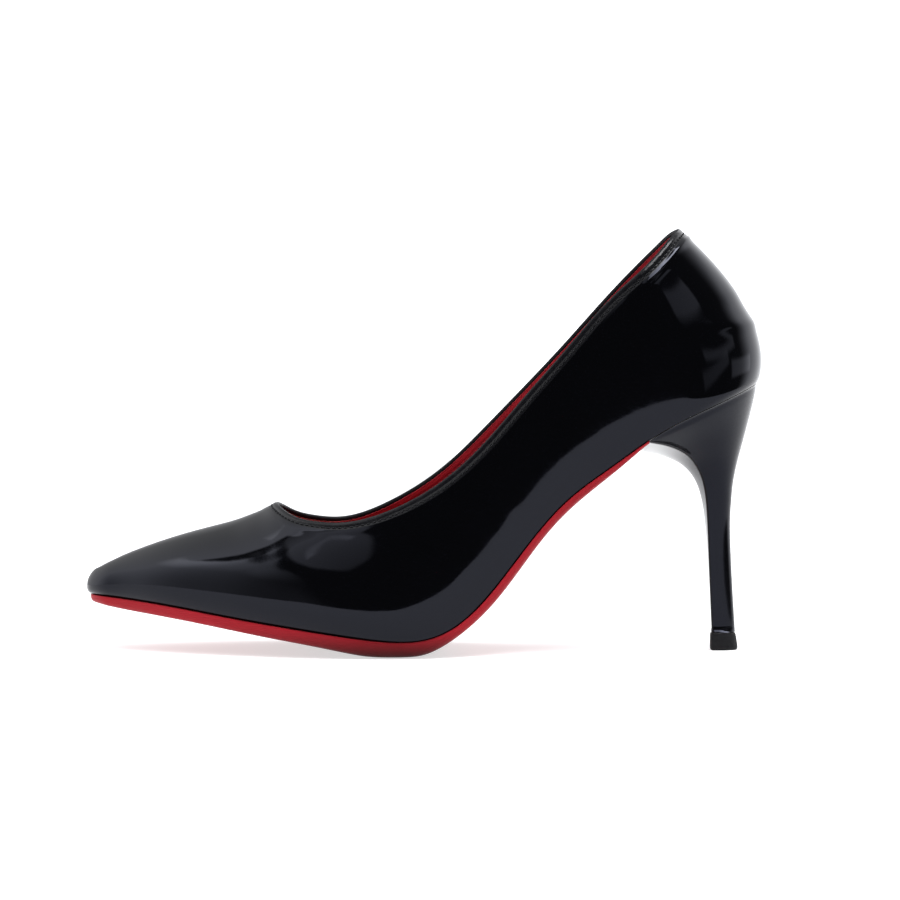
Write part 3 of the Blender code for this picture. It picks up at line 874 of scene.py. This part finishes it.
class Signal:
    """A node's output to calculate with: each sign between two, or between one and a number, adds a node."""

    def __init__(self, tree, socket):
        self.tree, self.socket = tree, socket

    def math(self, operation, other=None):
        return add_node(self.tree, "ShaderNodeMath", 0, {0: self, 1: other}, operation=operation)

    def __add__(self, other):
        return self.math("ADD", other)

    def __sub__(self, other):
        return self.math("SUBTRACT", other)

    def __mul__(self, other):
        return self.math("MULTIPLY", other)

    def fade(self, change, kind="SMOOTHSTEP"):
        """The level of a change at this value, soft at both ends unless it is linear."""
        places = {"From Min": change.start, "From Max": change.end}
        levels = {"To Min": change.first, "To Max": change.last}
        inputs = {"Value": self, **places, **levels}
        return add_node(self.tree, "ShaderNodeMapRange", "Result", inputs, interpolation_type=kind)


def add_node(tree, kind, output, inputs, **settings):
    """One output of a new node. Its inputs are signals, or plain numbers and colours."""
    node = tree.nodes.new(kind)
    for name, setting in settings.items():
        setattr(node, name, setting)
    for name, value in inputs.items():
        if isinstance(value, Signal):
            tree.links.new(value.socket, node.inputs[name])
        elif value is not None:
            node.inputs[name].default_value = value
    return Signal(tree, node.outputs[output])


NOISE_LOW, NOISE_HIGH = 0.3, 0.7  # where most of a noise's values lie


class Paint:
    """A Principled material that varies over its piece. Scales are to the metre, depths in millimetres."""

    def __init__(self, name, colour, roughness, ior=1.45):
        self.material = bpy.data.materials.new(name)
        self.material.use_nodes = True
        self.tree = self.material.node_tree
        self.sockets = self.tree.nodes["Principled BSDF"].inputs
        self.at = add_node(self.tree, "ShaderNodeTexCoord", "Object", {})
        self.set({"Base Color": (*colour, 1), "Roughness": roughness, "IOR": ior})

    def set(self, values):
        for name, value in values.items():
            self.sockets[name].default_value = value

    def link(self, signal, *names):
        for name in names:
            self.tree.links.new(signal.socket, self.sockets[name])

    def gloss(self, coat_weight, coat_roughness):
        """A hard clear coat over a softer, faintly blue gloss."""
        self.set({"IOR": 1.26, "Specular Tint": (0.66, 0.71, 1.0, 1)})
        self.set({"Coat Weight": coat_weight, "Coat IOR": 1.3, "Coat Roughness": coat_roughness})

    def place(self, axis):
        return add_node(self.tree, "ShaderNodeSeparateXYZ", axis, {0: self.at})

    def noise(self, scale, detail=2.0, roughness=0.5):
        inputs = {"Vector": self.at, "Scale": scale, "Detail": detail, "Roughness": roughness}
        return add_node(self.tree, "ShaderNodeTexNoise", "Fac", inputs)

    def cells(self, scale):
        return add_node(self.tree, "ShaderNodeTexVoronoi", "Distance", {"Vector": self.at, "Scale": scale})

    def bump(self, height, depth, under=None):
        inputs = {"Height": height, "Distance": depth * MM, "Normal": under}
        return add_node(self.tree, "ShaderNodeBump", "Normal", inputs)

    def shades(self, value, dark, light, low=NOISE_LOW, high=NOISE_HIGH):
        """Colours from dark to light, picked by a value."""
        picked = add_node(self.tree, "ShaderNodeValToRGB", "Color", {"Fac": value})
        stops = picked.socket.node.color_ramp.elements
        for stop, position, colour in zip(stops, (low, high), (dark, light)):
            stop.position = position
            stop.color = (*colour, 1)
        return picked

    def colour(self, *shading, **limits):
        self.link(self.shades(*shading, **limits), "Base Color")

    def roughen(self, value, low, high):
        self.link(value.fade(Fade(NOISE_LOW, NOISE_HIGH, low, high), "LINEAR"), "Roughness")

    def emboss(self, *height_and_depth):
        self.link(self.bump(*height_and_depth), "Normal")


def make_patent():
    """Black under a clear hard gloss that ripples faintly, with fine grain below it."""
    paint = Paint("patent_leather", (0.0003, 0.0003, 0.0004), 0.07)
    paint.gloss(0.4, 0.025)
    paint.colour(paint.noise(60, 3), (0.0002, 0.0002, 0.0003), (0.0004, 0.0004, 0.0006), high=0.75)
    paint.roughen(paint.noise(400, 3), 0.05, 0.09)
    ripple = paint.bump(paint.noise(110, 1.5, 0.4), 0.03)
    paint.link(ripple, "Coat Normal")
    paint.emboss(paint.cells(1100), 0.002, ripple)
    return paint.material


def make_fold_black():
    """Duller than the face: the inside of the fold, which is glued, and the edges of the heel's breast."""
    paint = Paint("fold_black", (0.004, 0.004, 0.005), 0.55, 1.25)
    paint.colour(paint.noise(300, 3), (0.003, 0.003, 0.004), (0.007, 0.007, 0.008))
    paint.emboss(paint.noise(900, 3), 0.04)
    return paint.material


def make_collar_black():
    """The pressed band along the topline, which wrinkles between the stitches and mirrors less sharply."""
    paint = Paint("collar_black", (0.003, 0.003, 0.004), 0.2, 1.3)
    paint.colour(paint.noise(500, 3), (0.002, 0.002, 0.003), (0.005, 0.005, 0.006))
    paint.roughen(paint.noise(700, 3), 0.14, 0.26)
    paint.emboss(paint.noise(650, 2), 0.1)
    return paint.material


# The sole's colour is painted darker near the floor, standing in for the shadow beneath the ball.
SOLE_PAINTED_SHADE = Fade(-0.001, 0.0115, 0.08, 1.0)  # painted shade: share of the sole's colour, by height in metres


def make_sole_red():
    """Satin red with painted shade, darker towards the floor, and a fine grain over slow waves."""
    paint = Paint("sole_rubber_red", (0.29, 0.008, 0.015), 0.5, 1.22)
    colour = paint.shades(paint.noise(45, 4), (0.27, 0.007, 0.013), (0.31, 0.010, 0.018))
    # painted shade: the colour is scaled down towards the floor
    painted_shade = {0: colour, "Scale": paint.place("Z").fade(SOLE_PAINTED_SHADE)}
    paint.link(add_node(paint.tree, "ShaderNodeVectorMath", 0, painted_shade, operation="SCALE"), "Base Color")
    paint.roughen(paint.noise(300, 4), 0.42, 0.56)
    fine = paint.bump(paint.noise(1800, 3, 0.6), 0.03)
    paint.emboss(paint.noise(90, 2), 0.05, fine)
    return paint.material


def make_lining_red():
    paint = Paint("lining_red", (0.30, 0.012, 0.02), 0.6, 1.3)
    paint.colour(paint.noise(120, 4), (0.29, 0.012, 0.02), (0.37, 0.017, 0.027))
    paint.roughen(paint.noise(600, 3), 0.5, 0.66)
    grain = paint.bump(paint.cells(1300), 0.05)
    paint.emboss(paint.noise(200, 3), 0.06, grain)
    return paint.material


def make_raw_edge():
    paint = Paint("raw_edge", (0.46, 0.30, 0.19), 0.8)
    paint.colour(paint.noise(1500, 3), (0.36, 0.22, 0.14), (0.55, 0.38, 0.25))
    paint.emboss(paint.noise(2500, 3), 0.06)
    return paint.material


def make_heel_black(name, coat_weight):
    paint = Paint(name, (0.001, 0.001, 0.0012), 0.08)
    paint.gloss(coat_weight, 0.03)
    paint.colour(paint.noise(80, 3), (0.0008, 0.0008, 0.001), (0.0018, 0.0018, 0.002))
    paint.roughen(paint.noise(500, 3), 0.06, 0.1)
    paint.link(paint.bump(paint.noise(130, 1), 0.012), "Normal", "Coat Normal")
    return paint.material


def make_tip_black():
    paint = Paint("tip_rubber_black", (0.004, 0.004, 0.005), 0.6, 1.3)
    paint.colour(paint.noise(250, 4), (0.003, 0.003, 0.004), (0.006, 0.006, 0.007))
    paint.roughen(paint.noise(700, 3), 0.5, 0.72)
    paint.emboss(paint.noise(2200, 3), 0.05)
    return paint.material


THREAD_LIGHTER = 2.2  # how many times lighter than its colour a thread gets


def make_thread(name, colour):
    paint = Paint(name, colour, 0.6, 1.3)
    lighter = [channel * THREAD_LIGHTER for channel in colour]
    paint.colour(paint.noise(3000, 2), colour, lighter, low=0.35)
    paint.emboss(paint.noise(4500, 2), 0.05)
    return paint.material


# The floor in metres: its edges, and how it fades out before it reaches them
FLOOR_LEFT, FLOOR_RIGHT, FLOOR_FRONT, FLOOR_BACK = -2.0, 0.46, -1.6, 0.9
FLOOR_SLANT = 0.15  # how much further right it fades for each metre further back
FLOOR_FRONT_FADE = Fade(-1.5, -1.2, 0.0, 1.0)
FLOOR_BACK_FADE = Fade(0.3, FLOOR_BACK, 1.0, 0.0)
FLOOR_RIGHT_FADE = Fade(0.36, FLOOR_RIGHT, 1.0, 0.0)
FLOOR_GLOW = 0.62  # its own light, which keeps shadows on it pale


def make_floor():
    """A plain white floor that loses itself in the white behind it and fades out towards the camera."""
    paint = Paint("floor_white", (0.55, 0.55, 0.55), 0.9)
    paint.set({"Specular IOR Level": 0.0, "Emission Color": (1, 1, 1, 1), "Emission Strength": FLOOR_GLOW})
    x, y = paint.place("X"), paint.place("Y")
    sideways = (x - y * FLOOR_SLANT).fade(FLOOR_RIGHT_FADE)
    paint.link(y.fade(FLOOR_FRONT_FADE) * sideways * y.fade(FLOOR_BACK_FADE), "Alpha")
    mesh = bpy.data.meshes.new("floor")
    nearer = [(FLOOR_LEFT, FLOOR_FRONT, 0), (FLOOR_RIGHT, FLOOR_FRONT, 0)]
    farther = [(FLOOR_RIGHT, FLOOR_BACK, 0), (FLOOR_LEFT, FLOOR_BACK, 0)]
    mesh.from_pydata(nearer + farther, [], [(0, 1, 2, 3)])
    mesh.materials.append(paint.material)
    floor = bpy.data.objects.new("floor", mesh)
    bpy.context.scene.collection.objects.link(floor)


# The studio that the patent mirrors, by the direction that things lie in from the shoe, in degrees: turn is
# from the camera's side round to the heel, climb is above the floor's level. Fades are by turn unless a
# comment says otherwise.
STUDIO_COLOUR = (0.96, 0.97, 1.0, 1)
STUDIO_STRENGTH = 1.2
ROOM_LIGHT = 0.09  # from where nothing else is
SEEN_LIGHT = 1.2  # of the white that the camera sees behind the shoe

# The wall past the toe, whose top climbs away from the camera along the lower of two slopes, up to a limit
Slope = namedtuple("Slope", "per_degree at_front")
WALL_SLOPES = (Slope(-0.286, 36.2), Slope(-0.725, 11.2))
WALL_LIMIT = 58.0
WALL_TOP_EDGE = Fade(-1.0, 1.0, 0, 1)  # by climb below the top
WALL_LIGHT = Fade(-95, -30, 1.5, 0.2)
WALL_BEHIND = Fade(-165, -100, 0.15, 1)
WALL_SLANT = 0.48  # degrees that its front edge moves from the camera for each degree of climb
WALL_FRONT_EDGE = Fade(-30, -12, 1, 0)
TOP_LIGHT = Fade(0, 10, 1.6, 0)  # added below the top, by climb below it
TOP_LIGHT_FRONT = Fade(-85, -65, 1, 0.4)
TOP_LIGHT_BEHIND = Fade(-125, -105, 0, 1)

# The light behind that wall, and the light past the heel
TOE_LIGHT = Fade(-165, -100, 0.25, 1.6)
TOE_EDGE = Fade(62.5, 68, -95, -78)  # the turn where it ends, by climb
TOE_EDGE_SOFT = Fade(-3, 3, 1, 0)
HEEL_LIGHT = Fade(88, 118, 0, 1.5)
HEEL_LIGHT_ABOVE = Fade(30, 45, 1, 0.4)  # by climb

# Bright panels. The middle of a panel may climb from its start to its end, and its strength may change.
PANELS = table(
    "turn_from turn_to climb_from climb_to half_height strength_from strength_to",
    (-63, -11, 67, 46, 9.5, 1.2, 0.4),
    (-88, -63, 67, 64, 6.0, 0.4, 1.0),
    (-50, -36, 65, 53, 2.0, 0.35, 1.0),
    (24, 60, 27, 38.5, 4.7, 0.55, 0.7),
    (37, 82, 14.5, 19.5, 1.8, 0.45, 0.5),
    (30, 68, 5.0, 14.5, 2.8, 0.3, 0.4),
    (72, 112, 8, 3, 4.5, 0.6, 0.9),
    (-15, 35, 60, 66, 13.0, 4.0, 11.0),
    (35, 110, 70, 64, 7.0, 12.0, 12.0),
)
PANEL_SOFT = 1.5  # half the width of a panel's soft edge


def soft_edge(place, first, last):
    return Fade(place - PANEL_SOFT, place + PANEL_SOFT, first, last)


def panel_light(turn, climb, panel):
    reach = (panel.turn_from, panel.turn_to)
    middle = turn.fade(Fade(*reach, panel.climb_from, panel.climb_to), "LINEAR")
    strength = turn.fade(Fade(*reach, panel.strength_from, panel.strength_to), "LINEAR")
    across = turn.fade(soft_edge(panel.turn_from, 0, 1)) * turn.fade(soft_edge(panel.turn_to, 1, 0))
    off_middle = (climb - middle).math("ABSOLUTE")
    return across * off_middle.fade(soft_edge(panel.half_height, 1, 0)) * strength


def wall_light(turn, climb):
    """Light of the wall past the toe, brightest just below its top."""
    gentle, sharper = (turn * slope.per_degree + slope.at_front for slope in WALL_SLOPES)
    below_top = gentle.math("MINIMUM", sharper).math("MINIMUM", WALL_LIMIT) - climb
    top_light = below_top.fade(TOP_LIGHT) * turn.fade(TOP_LIGHT_FRONT) * turn.fade(TOP_LIGHT_BEHIND)
    light = (turn.fade(WALL_LIGHT) + top_light) * turn.fade(WALL_BEHIND, "LINEAR")
    front_edge = (turn + climb * WALL_SLANT).fade(WALL_FRONT_EDGE)
    return light * front_edge * below_top.fade(WALL_TOP_EDGE)


def make_world():
    """A dim studio with a bright wall past the toe, white behind the shoe, and a few panels."""
    world = bpy.data.worlds.new("studio")
    bpy.context.scene.world = world
    world.use_nodes = True
    tree = world.node_tree
    tree.nodes.clear()
    direction = add_node(tree, "ShaderNodeTexCoord", "Generated", {})
    x, y, z = (add_node(tree, "ShaderNodeSeparateXYZ", axis, {0: direction}) for axis in "XYZ")
    turn = x.math("ARCTAN2", y * -1.0) * math.degrees(1)
    climb = z.math("ARCSINE") * math.degrees(1)
    toe_edge = turn - climb.fade(TOE_EDGE, "LINEAR")
    past_toe = turn.fade(TOE_LIGHT, "LINEAR") * toe_edge.fade(TOE_EDGE_SOFT)
    past_heel = turn.fade(HEEL_LIGHT) * climb.fade(HEEL_LIGHT_ABOVE)
    light = wall_light(turn, climb).math("MAXIMUM", past_toe).math("MAXIMUM", past_heel)
    for panel in PANELS:
        light = light + panel_light(turn, climb, panel)
    seen = add_node(tree, "ShaderNodeLightPath", "Is Camera Ray", {})
    strength = ((light + ROOM_LIGHT) * STUDIO_STRENGTH).math("MAXIMUM", seen * SEEN_LIGHT)
    shining = {"Color": STUDIO_COLOUR, "Strength": strength}
    background = add_node(tree, "ShaderNodeBackground", "Background", shining)
    output = tree.nodes.new("ShaderNodeOutputWorld")
    tree.links.new(background.socket, output.inputs["Surface"])


def add_softbox(name, place, target, width, height, power):
    """A lamp, in metres and watts, for what isn't mirrored: the world holds what the patent mirrors."""
    lamp = bpy.data.lights.new(name, "AREA")
    lamp.shape = "RECTANGLE"
    lamp.size, lamp.size_y = width, height
    lamp.energy = power
    box = bpy.data.objects.new(name, lamp)
    bpy.context.scene.collection.objects.link(box)
    box.location = place
    box.rotation_euler = (Vector(target) - Vector(place)).to_track_quat("-Z", "Y").to_euler()
    box.visible_glossy = False


# The camera, in metres apart from its lens and sensor
LENS, SENSOR = 353.0, 36.0
CAMERA_CLIMB = math.radians(4)
CAMERA_DISTANCE, CAMERA_REACH = 3.0, 100
CAMERA_TARGET = (0.0089, 0, 0.0682)


def make_camera():
    """A long lens close to square on, a little above the shoe, with 0.34 mm to a pixel."""
    data = bpy.data.cameras.new("camera")
    data.lens, data.sensor_width = LENS, SENSOR
    data.clip_end = CAMERA_REACH
    camera = bpy.data.objects.new("camera", data)
    bpy.context.scene.collection.objects.link(camera)
    back = Vector((0, -math.cos(CAMERA_CLIMB), math.sin(CAMERA_CLIMB)))
    camera.location = Vector(CAMERA_TARGET) + back * CAMERA_DISTANCE
    camera.rotation_euler = (-back).to_track_quat("-Z", "Y").to_euler()
    bpy.context.scene.camera = camera


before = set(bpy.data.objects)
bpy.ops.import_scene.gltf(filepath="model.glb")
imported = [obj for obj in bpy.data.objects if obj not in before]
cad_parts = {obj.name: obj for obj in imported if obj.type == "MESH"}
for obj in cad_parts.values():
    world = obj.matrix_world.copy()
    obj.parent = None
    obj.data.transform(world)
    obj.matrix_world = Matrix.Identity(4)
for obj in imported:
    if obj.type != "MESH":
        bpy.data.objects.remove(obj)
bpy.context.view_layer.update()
make_camera()

patent, fold_black, collar_black = make_patent(), make_fold_black(), make_collar_black()
sole_red, lining_red, raw_edge = make_sole_red(), make_lining_red(), make_raw_edge()
heel_black, breast_black = make_heel_black("heel_black", 0.2), make_heel_black("breast_black", 1.0)
tip_black = make_tip_black()
black_thread = make_thread("black_thread", (0.004, 0.004, 0.005))
red_thread = make_thread("red_thread", (0.10, 0.006, 0.009))

skin = skin_grid()
make_upper(*skin[:2])
make_lining(*skin)
outer_line, outer_out = path_at(*skin, STITCH_DOWN, STITCH_LIFT)
stitch_row("outer_stitches", outer_line, outer_out, black_thread)
inner_line, inner_out = path_at(*skin, INNER_DOWN, -LINING_FACE - INNER_LIFT)
stitch_row("inner_stitches", inner_line, -inner_out, red_thread)
make_outsole()
make_sock()
make_heel()
make_heel_tip()

make_floor()
make_world()
add_softbox("overhead", (-0.3, 0.1, 1.5), (-0.05, -0.1, 0), 1.2, 0.8, 4)
add_softbox("front_fill", (0, -1.2, 1.0), (0, 0, 0.03), 2.2, 0.7, 4)
view = bpy.context.scene.view_settings
view.view_transform, view.look = "Standard", "None"
